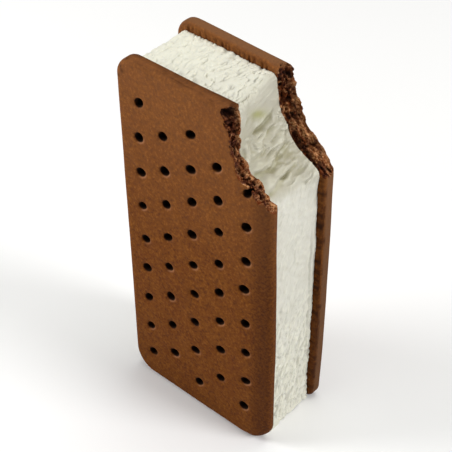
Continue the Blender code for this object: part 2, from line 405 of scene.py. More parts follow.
BACK_MARKS = (
    (-0.5, 0.9, 0.0, 1.2, 0.9, 0.9),
    (5.8, 0.75, 0.0, 0.9, 0.45, -0.5),
    (4.2, 1.9, 0.0, 0.7, 0.5, 0.5),
    (10.5, 3.2, 0.0, 0.9, 0.6, 0.4),
    (15.3, 1.7, 0.0, 0.8, 0.55, 0.9),
    (19.0, 0.6, 0.0, 1.6, 0.45, -0.4),
    (22.5, 2.9, 0.0, 0.8, 0.5, -0.3),
    (26.8, 1.6, 0.0, 1.1, 0.7, 0.6),
    (34.6, 1.75, -0.25, 2.1, 0.55, -0.6),
    (42.2, 1.15, -0.10, 1.8, 0.60, -0.55),
    (39.5, 3.4, -0.03, 4.0, 0.65, 0.75),
    (49.6, 0.9, 0.0, 0.65, 0.6, 0.9),
    (47.9, 2.2, 0.0, 0.65, 0.7, 0.8),
    (57.5, 1.35, -0.107, 3.0, 0.50, -0.5),
    (56.0, 2.35, -0.06, 2.4, 0.35, -0.3),
    (58.0, 3.5, 0.04, 3.4, 0.45, 0.5),
)


def front_holes():
    return [(x - 0.24, z - 0.6) for column in FRONT_HOLES for x, z in column]


def back_holes():
    rng = np.random.RandomState(41)
    found = []
    for column in range(5):
        short = column % 2
        for row in range(9 - short):
            x = (column - 2) * 9.7 + rng.uniform(-0.35, 0.35)
            z = 60 + (4 - row - 0.5 * short) * 11.95 + rng.uniform(-0.5, 0.5)
            # A hole that the bite went through has left no trace
            angle, rho = bite_polar(x, z)
            if rho - float(R_BACK_INNER(angle)) > 3.2:
                found.append((x, z))
    return found


def outline_distance(x, z, corners):
    """Distance to a wafer's outline in the plane, negative inside."""
    ax, az = np.abs(x), np.abs(z - LENGTH / 2)
    rx = np.empty_like(ax)
    rz = np.empty_like(ax)
    for which, (a, b) in zip(
        ((x > 0) & (z < 60), (x > 0) & (z >= 60), (x <= 0) & (z >= 60), (x <= 0) & (z < 60)),
        corners,
    ):
        rx[which], rz[which] = a, b
    qx, qz = ax - (HALF_W - rx), az - (LENGTH / 2 - rz)
    flat = np.maximum(ax - HALF_W, az - LENGTH / 2)
    px, pz = np.maximum(qx, 1e-4) / rx, np.maximum(qz, 1e-4) / rz
    s = np.hypot(px, pz)
    g = np.hypot(px / rx, pz / rz) / s
    return np.where((qx > 0) & (qz > 0), (s - 1) / g, flat)


class Wafer:
    def __init__(self, name, side, corners, r_outer, r_inner, holes, marks, seed, roll, edges, grow, long_flakes, steps):
        self.name, self.side, self.corners = name, side, corners
        self.r_outer, self.r_inner = r_outer, r_inner
        self.holes, self.marks, self.seed = holes, marks, seed
        self.roll = roll  # how far the face falls away towards the +X edge
        self.r_face, self.r_lip = edges  # rounding of outer and inner edge: at the sides, at the top
        self.grow_side, self.grow_top = grow
        self.steps = steps  # whether the bitten edge goes down in ledges
        self.n1, self.n2, self.n3 = Noise(seed), Noise(seed + 1), Noise(seed + 2)
        self.lumps, self.crumbs = Cells(seed + 5), Cells(seed + 6)
        rng = np.random.RandomState(seed + 3)
        n = len(holes)
        self.hole_r = 1.47 + rng.uniform(-0.09, 0.10, n) - 0.22 * np.array([x > 19.5 and 96.0 < z < 98.0 for x, z in holes])
        self.hole_long = rng.uniform(1.10, 1.24, n)
        self.hole_turn = np.radians(34 + rng.uniform(-11, 14, n))
        # Distance along the torn edge in units of a lump: long flakes lie along its lower part
        even = np.arange(-40.0, 120.0, 0.5)
        stretch = 1.0 + (long_flakes - 1.0) * smoothstep(24.0, 34.0, even)
        run = np.cumsum(MM_PER_DEGREE * 0.5 / stretch)
        self.run = lambda a: np.interp(a, even, run)
        # Short strokes across the edge of the inner face, by their place along that edge
        self.stroke_at = np.arange(-30.0, 125.0, 0.03)
        self.stroke = np.zeros(len(self.stroke_at))
        at = -29.0
        while at < 124.0:
            cut = rng.uniform(0.28, 0.55) * np.exp(-(((self.stroke_at - at) / rng.uniform(0.22, 0.42)) ** 2))
            self.stroke = np.maximum(self.stroke, cut)
            at += rng.uniform(1.2, 2.8)

    def depth(self, y):
        """Depth below the outer face."""
        return HALF_T + self.side * -y if self.side > 0 else HALF_T + y

    def slab(self, x, t, z):
        """The wafer before it was bitten, without holes."""
        d = outline_distance(x, z, self.corners)
        d = d + 0.07 * self.n1(x / 13, z / 13, 0.5) + 0.03
        side = np.interp(z, (5.0, 22.0, 45.0, 68.0, 85.0, 100.0), self.grow_side)
        d = d - side * smoothstep(HALF_W - 8, HALF_W - 4, x) - np.interp(x, (-20.0, 12.0), self.grow_top) * smoothstep(LENGTH - 8, LENGTH - 4, z)
        if self.steps:
            # Next to the bite the inner edge is worn down
            d = d + 1.5 * smoothstep(4.5, 9.5, x) * smoothstep(1.6, 4.0, t) * smoothstep(LENGTH - 8, LENGTH - 4, z)
        inside = np.maximum(-d, 0)
        sag = 0.13 * np.exp(-inside / 2.2) + self.roll * np.exp(-((np.maximum(HALF_W - x, 0) / 3.8) ** 2))
        wave = 0.07 * self.n2(x / 9, z / 9, 2.5) + 0.05 * self.n1(x / 3.1, z / 3.1, 5.5)
        wave = wave + 0.018 * self.n3(x / 1.1, z / 1.1, 6.5)
        top = -(t - 0.10) + sag + wave * smoothstep(0.0, 3.0, inside)
        end = smoothstep(LENGTH - 8.0, LENGTH - 5.0, z)
        r1 = self.r_face[0] * (1 - end) + self.r_face[1] * end
        u, v = d + r1, top + r1
        outer = np.hypot(np.maximum(u, 0), np.maximum(v, 0)) + np.minimum(np.maximum(u, v), 0) - r1
        # The inner face, torn into short flutes where it stands clear of the ice cream
        bottom = t - WAFER_T + self.flutes(x, z, inside)
        end = smoothstep(LENGTH - 8.0, LENGTH - 5.0, z)
        r2 = self.r_lip[0] * (1 - end) + self.r_lip[1] * end * (1 - 0.65 * smoothstep(0.0, 8.0, x))
        u, v = d + r2, bottom + r2
        inner = np.hypot(np.maximum(u, 0), np.maximum(v, 0)) + np.minimum(np.maximum(u, v), 0) - r2
        return np.maximum(outer, inner)

    def flutes(self, x, z, inside):
        """Depth of the short grooves that run across the edge of the inner face."""
        lip = smoothstep(0.6, 1.7, inside) * (1 - smoothstep(4.0, 5.5, inside))
        end = smoothstep(0.45, 0.55, (np.abs(z - LENGTH / 2) - LENGTH / 2 + 8) / 8.0)
        warp = 0.35 * self.n1(x / 2.5, z / 2.5, 7.5)

        def strokes(along, across):
            cut = np.interp(along + warp, self.stroke_at, self.stroke)
            return cut * (0.85 + 0.35 * self.n3(along / 1.4, across / 1.8, 12.5))

        groove = strokes(x, z) * end + 0.7 * strokes(z, x) * (1 - end)
        clear = 1 - smoothstep(4.0, 8.0, x) * smoothstep(104.0, 110.0, z)
        return lip * (0.04 + np.maximum(groove, 0) * (0.4 + 0.6 * clear))

    def bite_smooth(self, x, t, z):
        """How far a point is past the bitten edge, without its roughness (positive is bitten off)."""
        angle, rho = bite_polar(x, z)
        u = np.clip(t / WAFER_T, 0, 1)
        if self.steps:
            # Layers of the crumb broke off one behind the other
            s = t + 0.55 * self.n1(self.run(angle) / 1.9, 4.0, 2.0)
            mix = sum(smoothstep(c - 0.14, c + 0.14, s) for c in (0.75, 1.75, 2.9)) / 3.0
        else:
            mix = smoothstep(0.2, 4.0, t)
        r = self.r_outer(angle) * (1 - mix) + self.r_inner(angle) * mix
        # Between its two faces the crumb tore out deeper, and deepest where it meets the ice cream
        r = r + (0.45 * smoothstep(-11.0, -2.0, angle) if self.steps else 0.65) * np.clip(4 * u * (1 - u), 0, 1) ** 0.8
        if self.steps:
            r = r + 0.45 * smoothstep(0.75, 1.0, u) - 0.3 * smoothstep(8.0, -4.0, angle) * smoothstep(0.6, 0.1, u)
        if self.steps:
            return r - 0.45 - 0.5 * (1 - mix) * smoothstep(0.0, 12.0, angle) - rho
        return r - 0.45 + 0.25 * (1 - mix) - rho

    def mark_field(self, x, t, z):
        """What the marks take away or leave standing, and where each kind is."""
        angle, _ = bite_polar(x, z)
        total = np.zeros(np.shape(x))
        proud = np.zeros(np.shape(x))
        sunk = np.zeros(np.shape(x))
        for a0, t0, slope, along, across, amount in self.marks:
            off = (angle - a0) * MM_PER_DEGREE
            level = t - (t0 + slope * (angle - a0)) + 0.2 * self.n2(off / 0.9 + a0, 3.0, 1.0)
            g = np.exp(-((off / along) ** 4) - (level / across) ** 2)
            total += amount * g
            if amount < 0:
                proud = np.maximum(proud, g)
            else:
                sunk = np.maximum(sunk, g * min(1.0, 0.45 + 0.6 * amount))
        return total, proud, sunk

    def bite_rough(self, x, t, z, d):
        """The torn edge: lumps with creases between them, and marks in their own places."""
        angle, rho = bite_polar(x, z)
        s = self.run(angle)
        warp = 0.5 * self.n1(x / 2.2, t / 2.0, z / 2.2)
        big, crease = self.lumps((s + warp) / LUMP, (t + 0.5 * warp) / (0.66 * LUMP), rho / (2.2 * LUMP))
        small, crack = self.crumbs((s + 0.3 * warp) / 0.80, t / 0.66, rho / 1.4)
        calm = 0.25 + 0.75 * smoothstep(0.1, 0.9, t) * smoothstep(WAFER_T - 0.1, WAFER_T - 0.9, t)
        if self.steps:
            calm = calm * (0.3 + 0.7 * smoothstep(-7.5, -3.0, angle))
        n = (0.32 + 0.20 * calm) * big + (0.10 + 0.20 * calm) * small
        n = n + calm * (0.42 * smoothstep(0.40, 0.0, crease) + 0.20 * smoothstep(0.25, 0.0, crack) - 0.14)
        if self.steps:
            n = n * (0.3 + 0.7 * smoothstep(-6.0, -2.0, angle))
        marks = self.mark_field(x, t, z)[0]
        return d + n + marks

    def build(self):
        step = 0.19
        wide = 0.38
        xs = axis((-HALF_W - 0.8, 5.0, wide), (5.0, HALF_W + 1.5, step))
        zs = axis((-0.8, 85.0, wide), (85.0, LENGTH + 0.8, step))
        pad = 0.8
        lo, hi = (-HALF_T - pad, -Y_IN + pad) if self.side < 0 else (Y_IN - pad, HALF_T + pad)
        ys = axis((lo, hi, 0.21))
        X, Y, Z = np.meshgrid(xs, ys, zs, indexing="ij")
        X, Y, Z = X.ravel(), Y.ravel(), Z.ravel()
        T = self.depth(Y)
        field = self.slab(X, T, Z).astype(F4)
        bite = np.full(X.shape, -9.0)
        zone = (X > 2) & (Z > 80)
        bite[zone] = self.bite_smooth(X[zone], T[zone], Z[zone])
        near = (np.abs(bite) < 3.0) & (field < 1.5)
        bite[near] = self.bite_rough(X[near], T[near], Z[near], bite[near])
        field = smax(field, bite, 0.55).astype(F4)
        field = field.reshape(len(xs), len(ys), len(zs))
        self.cut_holes(field, xs, ys, zs)
        self.cut_pores(field, xs, ys, zs)
        verts, quads = surface_net(field, xs, ys, zs)
        verts, quads = largest_part(verts, quads)
        obj = mesh_object(self.name + "_crumb", verts, quads)
        print(self.name, "quads", len(quads))
        x, y, z = verts.T
        bite = np.full(len(x), -9.0)
        zone = (x > 2) & (z > 80)
        bite[zone] = self.bite_smooth(x[zone], self.depth(y[zone]), z[zone])
        decimate(obj, 190000, smoothstep(-1.6, -2.6, bite))
        self.attributes(obj)
        return obj

    def window(self, axis_values, centre, reach):
        a = int(np.searchsorted(axis_values, centre - reach))
        b = int(np.searchsorted(axis_values, centre + reach))
        return slice(max(a, 0), max(b, 0))

    def hole_radius(self, x, z, i):
        """Distance from a hole's middle, counted so that its oval mouth is at hole_r."""
        hx, hz = self.holes[i]
        c, s = math.cos(self.hole_turn[i]), math.sin(self.hole_turn[i])
        u, v = (x - hx) * c + (z - hz) * s, -(x - hx) * s + (z - hz) * c
        long = self.hole_long[i]
        return np.hypot(u / long, v * long)

    def cut_holes(self, field, xs, ys, zs):
        for i, (hx, hz) in enumerate(self.holes):
            sx, sz = self.window(xs, hx, 4.2), self.window(zs, hz, 4.2)
            x, y, z = np.meshgrid(xs[sx], ys, zs[sz], indexing="ij")
            t = self.depth(y)
            r = self.hole_r[i]
            rho = self.hole_radius(x, z, i)
            wobble = 0.17 * self.n2(x / 1.2, t / 1.6, z / 1.2)
            peg = np.maximum(rho - (r + 0.04 - 0.06 * t) + wobble, t - 3.5)
            dish = 0.20 * np.exp(-((np.maximum(rho - r, 0) / 0.85) ** 2)) * (t < 1.6)
            field[sx, :, sz] = smax(field[sx, :, sz] + dish, -peg, 0.42)

    def cut_pores(self, field, xs, ys, zs):
        """Gas bubbles of the baked crumb, laid open by the bite, and crumbs that stuck on."""
        rng = np.random.RandomState(self.seed + 9)
        for i in range(130):
            angle = rng.uniform(-12, 74)
            t = rng.uniform(1.1, WAFER_T - 0.7)
            a = math.radians(angle)
            at = (np.array([BITE_X - 24.0 * math.cos(a)]), np.array([t]), np.array([BITE_Z - 24.0 * math.sin(a)]))
            r = 24.0 + float(self.bite_smooth(*at)[0])
            size = 0.20 + 0.34 * rng.uniform() ** 2.0
            hollow = rng.uniform() < 0.7
            r = r + 0.2 + (rng.uniform(-0.1, 0.7) if hollow else rng.uniform(-0.3, 0.2))
            px, pz = BITE_X - r * math.cos(a), BITE_Z - r * math.sin(a)
            stretch = rng.uniform(1.0, 2.2) if hollow else rng.uniform(0.9, 1.4)
            flat = rng.uniform(0.6, 1.0)
            if px > HALF_W - 0.4 or pz > LENGTH - 0.4:
                continue
            py = (-HALF_T + t) if self.side < 0 else (HALF_T - t)
            reach = size * 2.6 + 0.3
            sx, sy, sz = self.window(xs, px, reach), self.window(ys, py, reach), self.window(zs, pz, reach)
            if sx.start >= sx.stop or sy.start >= sy.stop or sz.start >= sz.stop:
                continue
            x, y, z = np.meshgrid(xs[sx], ys[sy], zs[sz], indexing="ij")
            ca, sa = math.cos(a), math.sin(a)
            along = ((x - px) * sa - (z - pz) * ca) / stretch
            out = (x - px) * ca + (z - pz) * sa
            up = (y - py) / flat
            d = np.sqrt(along**2 + out**2 + up**2) - size
            d = d + 0.25 * size * self.n2(x / 0.7 + 3, y / 0.7, z / 0.7)
            f = field[sx, sy, sz]
            if hollow:
                field[sx, sy, sz] = smax(f, -d, 0.12)
            else:
                field[sx, sy, sz] = smin(f, d, 0.18)

    def attributes(self, obj):
        p = vertex_mm(obj)
        x, t, z = p[:, 0], self.depth(p[:, 1]), p[:, 2]
        slab = self.slab(x, t, z)
        d = outline_distance(x, z, self.corners)
        torn = np.zeros(len(x))
        pit = np.zeros(len(x))
        fleck = np.zeros(len(x))
        zone = (x > 2) & (z > 80)
        xz, tz, zz = x[zone], t[zone], z[zone]
        bite = self.bite_smooth(xz, tz, zz)
        rough = self.bite_rough(xz, tz, zz, bite)
        # Torn crumb is what the bite laid bare; the rest is baked skin
        torn[zone] = np.maximum(
            smoothstep(-0.16, 0.0, rough - slab[zone]) * (bite > -3.2),
            smoothstep(-2.4, -1.4, bite) * smoothstep(-0.15, -0.35, slab[zone]),
        )
        if self.steps:
            # The skin of the top edge is drawn down over the end of the crumb
            torn[zone] *= smoothstep(0.15, -0.15, zz - 118.7 + 0.45 * smoothstep(1.2, 3.4, tz) + 0.2 * self.n2(xz, tz, 5.0))
        # Painted shade: the crumb is darkened the deeper it lies below the bitten edge, in the creases between its
        # lumps and in the sunk marks
        pit[zone] = smoothstep(-0.15, 1.25, -bite)
        _, proud, sunk = self.mark_field(xz, tz, zz)
        angle, rho = bite_polar(xz, zz)
        warp = 0.5 * self.n1(xz / 2.2, tz / 2.0, zz / 2.2)
        big, crease = self.lumps((self.run(angle) + warp) / LUMP, (tz + 0.5 * warp) / (0.66 * LUMP), rho / (2.2 * LUMP))
        # Light flakes on the marks that stand proud, and painted highlight on the lumps and crumbs that stand out
        fleck[zone] = np.maximum(proud, 0.6 * smoothstep(-0.5, -0.85, big) * smoothstep(18.0, 30.0, angle))
        pit[zone] = np.maximum(pit[zone], 0.5 * smoothstep(0.42, 0.05, crease))
        pit[zone] *= 1.0 - 0.45 * smoothstep(24.0, 42.0, angle)
        pit[zone] = np.maximum(pit[zone], 0.85 * sunk)
        if self.steps:
            pit[zone] = np.maximum(pit[zone], 0.5 * smoothstep(-1.5, -4.0, angle))
        if self.steps:
            small, _ = self.crumbs((self.run(angle) + 0.3 * warp) / 0.80, tz / 0.66, rho / 1.4)
            fleck[zone] = np.maximum(fleck[zone], 0.75 * smoothstep(-0.35, -0.8, small) * (1 - sunk))
            pit[zone] = np.maximum(pit[zone], 0.6 * smoothstep(0.35, 0.8, small) * (1 - proud))
        # How light the crumb's colour runs, by depth below the outer face and by place along the bite
        warm = np.full(len(x), 0.5)
        if self.side < 0:
            warm[zone] = 0.42 + 0.30 * smoothstep(2.2, 3.8, tz) + 0.38 * smoothstep(20.0, 45.0, angle)
        else:
            warm[zone] = 0.24 - 0.04 * smoothstep(24.0, 32.0, angle) - 0.6 * smoothstep(60.0, 67.0, angle) + smoothstep(3.1, 1.7, tz) * (0.55 + 0.38 * smoothstep(18.0, 30.0, angle)) + 0.20 * smoothstep(40.0, 58.0, angle)
        set_attribute(obj, "warm", warm)
        hole = np.zeros(len(x))
        hole_glint = np.zeros(len(x))
        for i, (hx, hz) in enumerate(self.holes):
            close = (np.abs(x - hx) < 3) & (np.abs(z - hz) < 3)
            rho = self.hole_radius(x[close], z[close], i)
            # Painted highlight on the mouth's lower right edge, where the light falls on it
            toward = (x[close] - hx - (z[close] - hz)) / (1.414 * np.maximum(np.hypot(x[close] - hx, z[close] - hz), 0.1))
            ring = np.exp(-(((rho - self.hole_r[i] - 0.32) / 0.34) ** 2)) * smoothstep(0.2, 0.9, toward) * (t[close] < 1.2)
            hole_glint[close] = np.maximum(hole_glint[close], ring * (0.55 + 0.45 * math.sin(5.0 * hx + 3.0 * hz)))
            # Painted shade: inside each hole is made near black
            inside = smoothstep(self.hole_r[i] + 0.32, self.hole_r[i] + 0.02, rho)
            tc = t[close]
            hole[close] = np.maximum(hole[close], inside * smoothstep(0.12, 0.42, tc) * (tc < 3.9))
        set_attribute(obj, "torn", torn)
        set_attribute(obj, "pit", pit)
        set_attribute(obj, "fleck", fleck)
        set_attribute(obj, "hole", hole)
        set_attribute(obj, "hole_glint", hole_glint * smoothstep(118.0, 96.0, z))
        # Painted shade along the edges: on the front wafer at its sides, its inner edge and over the last 8 mm towards
        # +X; on the back wafer in blotches along its inner edge beside the ice cream
        edge = smoothstep(-2.2, -0.6, d)
        if self.side < 0:
            rim = edge * np.maximum(0.75 * smoothstep(0.2, 1.4, t), smoothstep(3.0, 3.9, t))
            rim = np.maximum(rim, 0.85 * smoothstep(HALF_W - 8.0, HALF_W - 1.5, x))
            edge_sheen = 0 * rim
        else:
            blobs = 0.5 + 0.5 * smoothstep(-0.25, 0.3, self.n3(z / 2.6, 3.0, 16.0))
            sides = 1 - smoothstep(LENGTH - 9.0, LENGTH - 6.0, z)
            border = WAFER_T - 0.9 + 0.5 * smoothstep(30.0, 62.0, z) + 0.15 * self.n2(z / 1.3, 1.0, 18.0)
            rim = edge * smoothstep(border, border + 0.3, t) * blobs * sides
            # Painted sheen: the back wafer's outer edge made greyer and paler
            edge_sheen = edge * smoothstep(WAFER_T - 0.2, WAFER_T - 1.1, t)
        set_attribute(obj, "rim", rim)
        set_attribute(obj, "edge_sheen", edge_sheen)
        # Painted shade in the grooves of the flutes along the inner edge
        flute = smoothstep(0.10, 0.45, self.flutes(x, z, np.maximum(-d, 0))) * smoothstep(WAFER_T - 1.8, WAFER_T - 0.9, t)
        set_attribute(obj, "flute", flute)
        rng = np.random.RandomState(self.seed + 15)
        spot = np.zeros(len(x))
        if self.side > 0:
            # Dark spots down the edge that lies against the ice cream
            at = 6.0
            while at < 88.0:
                level = WAFER_T - 0.5 + 0.2 * smoothstep(30.0, 62.0, at) + rng.uniform(-0.25, 0.15)
                tall = rng.uniform(0.7, 1.7)
                blob = np.exp(-(((z - at) / tall) ** 2) - ((t - level) / rng.uniform(0.45, 0.75)) ** 2) * (x > 0)
                spot = np.maximum(spot, rng.uniform(0.6, 1.0) * smoothstep(0.25, 0.75, blob))
                at += rng.uniform(2.4, 5.5)
            # Painted shade darkens the strip between them and the ice cream; the bottom end is darker too
            inward = t - border + 0.20 * self.n2(z / 0.8, 5.0, 31.0)
            spot = np.maximum(spot, 0.24 * smoothstep(0.0, 0.35, inward) * (x > 0) * smoothstep(92.0, 84.0, z))
            spot = np.maximum(spot, 0.85 * smoothstep(4.2, 1.2, z) * smoothstep(1.2, 2.8, t) * (x > 0))
        else:
            # Nicks along the top edge and at its corner
            at = -23.0
            while at < 11.0:
                blob = np.exp(-(((x - at) / rng.uniform(0.4, 1.3)) ** 2) - ((t - rng.uniform(0.7, 1.9)) / 0.55) ** 2) * (z > LENGTH - 2)
                spot = np.maximum(spot, rng.uniform(0.3, 0.75) * blob)
                at += rng.uniform(1.6, 5.0)
            # Painted shade: a dark line along the top of the inner edge, against the ice cream
            line = smoothstep(3.2, 3.8, t) * (z > LENGTH - 1.6) * smoothstep(-25.0, -21.0, x)
            spot = np.maximum(spot, (0.50 + 0.25 * self.n3(x / 1.5, 2.0, 8.0)) * line)
            # Painted shade in the crevice at the top end of the bitten edge
            dark = smoothstep(11.0, 12.2, x) * smoothstep(0.9, 2.2, t) * smoothstep(4.0, 3.2, t) * (z > LENGTH - 1.5)
            spot = np.maximum(spot, 0.75 * dark * smoothstep(-0.5, 0.3, self.n3(x / 0.9, t / 0.9, 3.0)))
            for cx, cz, r in ((-24.1, 115.8, 0.7), (-25.9, 113.6, 0.5), (-24.6, 117.0, 0.45)):
                spot = np.maximum(spot, 0.7 * np.exp(-(((x - cx) ** 2 + (z - cz) ** 2) / r**2)) * (t < 1.5))
        set_attribute(obj, "spot", spot)
        set_attribute(obj, "inner", smoothstep(0.9, 0.15, WAFER_T - t) * smoothstep(0.0, 0.5, -d))
        set_attribute(obj, "height", z / LENGTH)


# ---------------------------------------------------------------- ice cream
# Tooth marks across the bite: points of y and angle along each, depth, half width
GROOVES = (
    (((-3.6, 21.6), (-2.9, 22.5), (-1.1, 22.9), (1.6, 23.0), (3.6, 22.3), (6.1, 21.2), (7.8, 17.5)), 1.0, 1.05),
    (((-0.6, 30.4), (0.0, 30.0), (1.8, 28.8), (3.4, 27.8), (5.1, 27.7), (7.6, 28.0)), 0.65, 0.65),
    (((2.0, 34.5), (2.8, 34.2), (4.8, 33.7), (7.3, 32.7), (9.2, 32.4)), 0.50, 0.55),
    (((-8.6, 34.5), (-6.3, 35.8), (-3.7, 36.5), (-1.0, 36.8), (1.2, 36.6)), 0.55, 0.75),
    (((-1.8, 40.0), (-1.2, 39.7), (0.8, 39.2), (3.4, 38.6), (5.5, 38.2)), 0.45, 0.5),
    (((-10.8, 43.6), (-9.5, 44.5), (-7.1, 45.0), (-5.2, 45.8), (-2.1, 47.0), (0.3, 45.5), (1.7, 44.5), (4.5, 43.2), (6.7, 42.0), (9.5, 41.0)), 0.90, 1.10),
    (((0.4, 47.0), (1.2, 47.2), (3.1, 48.0), (5.8, 47.0), (8.0, 46.2), (9.8, 45.8)), 0.50, 0.65),
    (((-3.5, 51.8), (0.0, 51.0), (4.0, 50.2), (9.6, 49.6)), 0.35, 0.6),
    (((-10.6, 59.5), (-8.8, 58.8), (-6.2, 57.8), (-3.8, 56.5), (-1.9, 55.8), (-0.3, 54.8), (1.9, 54.0), (4.5, 53.0), (7.4, 52.4)), 0.80, 0.80),
    (((1.4, 56.8), (2.6, 57.0), (4.9, 57.5), (7.1, 57.5), (9.2, 57.0)), 0.45, 0.70),
    (((1.0, 60.2), (2.1, 60.5), (5.6, 61.6), (7.6, 60.5), (9.2, 59.8)), 0.45, 0.65),
    (((-2.4, 62.8), (-0.9, 63.0), (2.6, 63.2), (5.0, 64.0), (7.8, 64.2)), 0.28, 0.6),
    (((-5.6, 66.2), (-4.2, 66.5), (-1.4, 67.8), (1.9, 67.5), (5.0, 67.0)), 0.35, 0.7),
)
# Dents and lumps of the bite: angle, y, radius, depth (a lump is below 0)
DENTS = (
    (12.2, -5.0, 1.2, 0.42),
    (14.8, -1.6, 1.7, 0.30),
    (2.8, -1.3, 0.5, -0.30),
    (-0.3, -7.9, 0.5, -0.25),
    (22.2, -6.1, 0.6, -0.35),
    (28.5, -3.9, 0.5, -0.35),
    (3.0, -4.0, 2.2, 0.22),
    (26.0, -7.4, 1.2, -0.35),
    (28.6, -5.0, 1.5, 0.20),
    (25.6, -3.4, 1.4, -0.18),
    (31.6, -3.0, 1.2, -0.40),
    (30.0, -8.6, 0.9, 0.30),
    (33.8, -6.0, 1.0, -0.30),
    (33.6, -0.6, 1.0, 0.30),
    (40.5, -5.5, 2.0, -0.35),
    (52.5, -6.5, 2.2, -0.40),
    (51.0, 3.5, 1.8, -0.25),
    (60.5, 3.0, 1.6, -0.30),
    (64.5, 7.0, 1.6, -0.30),
)


class Ice:
    def __init__(self):
        self.n1, self.n2, self.n3 = Noise(101), Noise(102), Noise(103)
        self.curds = Cells(104)

    def block(self, x, y, z):
        """The slab of ice cream before it was bitten."""
        bulge = (0.2 * np.exp(-(((z - 91.0) / 5.0) ** 2)) - 0.5 * np.exp(-(((z - 85.5) / 3.0) ** 2))) * smoothstep(0.0, 9.0, y) + (0.5 - 0.7 * smoothstep(80.0, 20.0, z)) * smoothstep(1.0, 9.5, y)
        # A thin flap squeezed out beside the back wafer, with a crease before it
        span = smoothstep(14.0, 24.0, z) * (1 - smoothstep(66.0, 76.0, z))
        at = 8.35 + 0.35 * self.n1(z / 6.0, 2, 5)
        flap = 0.42 * smoothstep(at - 0.05, at + 0.45, y) - 0.30 * np.exp(-(((y - at + 0.2) / 0.33) ** 2))
        bulge = (bulge + span * flap) * (x > 0)
        slump = 0.25 * self.n1(z / 22, y / 14, np.sign(x)) + 0.1 * self.n2(z / 7, y / 6 + 9.0 * np.sign(x), 4)
        ux = np.abs(x) - (ICE_X - 0.25 + slump + bulge)
        top = z - (ICE_TOP - 0.22 + 0.18 * self.n1(x / 14, y / 9, 6) - 0.6 * smoothstep(6.5, 9.5, y) * smoothstep(-7.0, 2.0, x))
        ragged = 0.35 * self.n3(x / 3.0, y / 1.6, 21) + 0.2 * self.n2(x / 1.2, y / 0.9, 23)
        foot = np.maximum(ICE_FOOT + 0.35 + np.maximum(ragged, -0.3) - 1.4 * smoothstep(7.0, -10.0, y), 0.3) - z
        return smax(ux, np.maximum(top, foot), 1.1)

    def bite_marks(self, angle, y):
        """What the teeth took out besides the smooth bite, in mm."""
        total = np.zeros(np.shape(y))
        for points, depth, width in GROOVES:
            py, pa = np.array(points).T
            centre = np.interp(y, py, pa) + 0.35 * self.n1(y / 1.7, pa[0], 3)
            taper = min(0.30 * (py[-1] - py[0]), 2.4)
            ends = smoothstep(py[0] - 0.6, py[0] + taper, y) * (1 - smoothstep(py[-1] - taper, py[-1] + 0.6, y))
            off = (angle - centre) * MM_PER_DEGREE
            strength = depth * ends * (0.9 + 0.25 * self.n2(y / 2.4, pa[0], 8))
            width = 0.95 * width * (0.45 + 0.55 * ends) * (1 + 0.3 * self.n1(y / 3.3, pa[0], 11))
            dip = np.exp(-((off / width) ** 2))
            lip = np.exp(-(((off + 1.45 * width) / (0.85 * width)) ** 2))
            total += 1.25 * strength * (dip - 0.45 * lip)
        for a0, y0, radius, depth in DENTS:
            q = np.hypot((angle - a0) * MM_PER_DEGREE, y - y0) / radius
            total += 1.4 * depth * np.exp(-(q**2) * 1.2)
        return total

    def bite(self, x, y, z):
        angle, rho = bite_polar(x, z)
        w = np.clip((y + Y_IN) / (2 * Y_IN), 0, 1)
        r = R_ICE_FRONT(angle) * (1 - w) + R_ICE_BACK(angle) * w
        r = r + 0.9 * np.clip(4 * w * (1 - w), 0, 1)
        return r + self.bite_marks(angle, y) - rho

    def relief(self, x, y, z, bite):
        """Height of the fine surface over the smooth form: wrinkles, pits and lumps."""
        n1, n2, n3 = self.n1, self.n2, self.n3
        on_bite = smoothstep(-1.2, 0.4, bite)
        on_top = smoothstep(ICE_TOP - 2.0, ICE_TOP - 0.6, z)
        on_foot = smoothstep(2.2, 0.9, z)
        # Top and foot: crinkled, short creases running from wafer to wafer
        wx = x + 0.8 * n1(x / 6, y / 6, z / 30) + 0.22 * n2(x / 1.6, y / 1.3, 7)
        a = n2((wx - 0.10 * y) / 1.10, y / 5.2, 4)
        b = n3((wx + 0.16 * y) / 0.60, y / 2.4, 14)
        c = n1(x / 1.0, y / 1.3, 19)
        crease = smoothstep(0.20, 0.0, np.abs(a)) * smoothstep(-0.5, 0.3, n1(x / 3.1, y / 3.1, 9))
        nick = smoothstep(0.16, 0.0, np.abs(b)) * smoothstep(-0.1, 0.5, n2(x / 2.0, y / 2.6, 29))
        wrinkle = 0.50 * np.abs(a) + 0.46 * np.abs(b) + 0.26 * c - 0.22 * crease - 0.14 * nick
        wrinkle = wrinkle * (0.95 + 0.8 * smoothstep(-12.0, 3.0, x)) * (1 - 0.55 * smoothstep(ICE_X - 1.8, ICE_X - 0.3, -x))
        # Sides: nearly smooth high up, coarse slanting wrinkles low down
        low = smoothstep(60.0, 16.0, z)
        warp = 0.9 * n1(y / 5, z / 5, 5) + 0.3 * n2(y / 1.8, z / 1.8, 6)
        s = y * 0.91 - z * 0.42 + warp
        along = z * 0.91 + y * 0.42
        f = n2(s / 0.85, along / 4.0 + 9.0 * np.sign(x), 24)
        e = n3(s / 0.5, along / 2.2 + 9.0 * np.sign(x), 34)
        fold = smoothstep(0.22, 0.0, np.abs(f))
        crack = smoothstep(0.18, 0.0, np.abs(e))
        dimple = n1(y / 1.2, z / 1.4, 44)
        side = (0.12 + 0.40 * low) * np.abs(f) + (0.15 + 0.30 * low) * np.abs(e) + 0.15 * dimple
        side = side - low * (0.30 * fold + 0.26 * crack) - 0.06 * (fold + crack)
